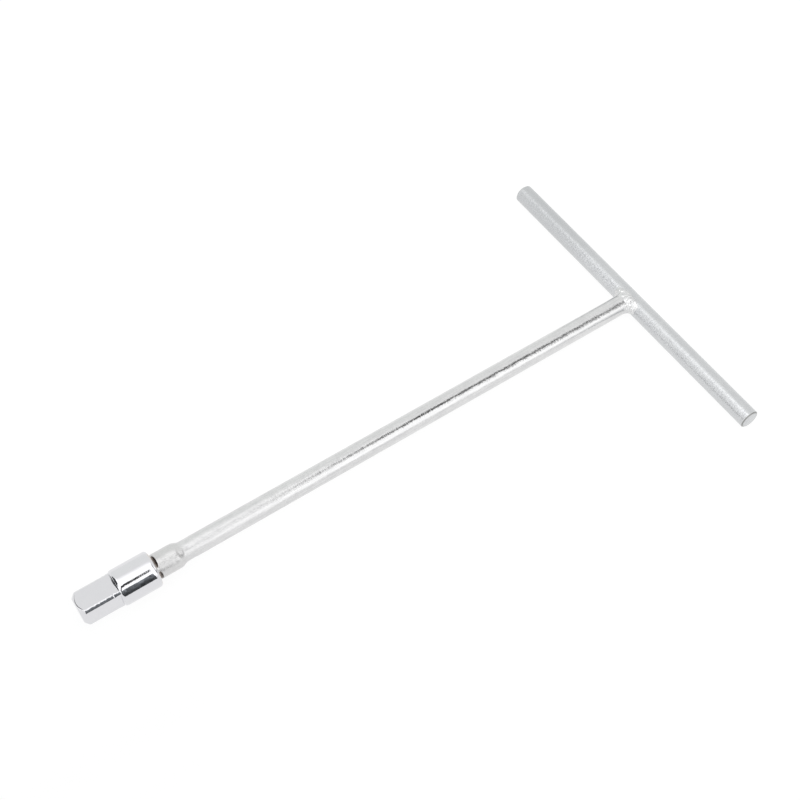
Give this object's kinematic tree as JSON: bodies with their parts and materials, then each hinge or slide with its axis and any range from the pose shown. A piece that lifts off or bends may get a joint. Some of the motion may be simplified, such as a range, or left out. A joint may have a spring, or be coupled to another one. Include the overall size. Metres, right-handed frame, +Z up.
{
  "type": "T-handle square driver",
  "caption": "T-handle driver: long rod with a welded cross bar and a chrome male 1/2 in square head with a detent ball, lying on its side.",
  "frame": {"origin": "middle of the footprint, on the floor that the tool lies on", "axes": "+X from the drive tip to the cross bar along the shaft's plan view, +Y along the cross bar, +Z up; the shaft rises 0.81 degrees towards the drive tip, because the head is thicker than the bar"},
  "size_m": [0.3164, 0.18, 0.018],
  "materials": {
    "zinc_plate": "bright zinc plating over drawn round bar, satin",
    "weld_metal": "rough weld bead under the same zinc plating",
    "chrome_plate": "polished chrome",
    "bright_steel": "hardened bright steel"
  },
  "bodies": {
    "wrench": {"cross_bar": "zinc_plate", "shaft": "zinc_plate", "weld_bead": "weld_metal", "drive_head": "chrome_plate", "detent_spring": "bright_steel"},
    "ball": {"detent_ball": "bright_steel"}
  },
  "joints": [
    {"name": "detent_ball_press", "type": "slide", "parent": "wrench", "child": "ball", "axis": [0, -1, 0], "range_m": [0, 0.001], "stiffness_N_per_m": 8000, "deforming": ["detent_spring"]}
  ]
}
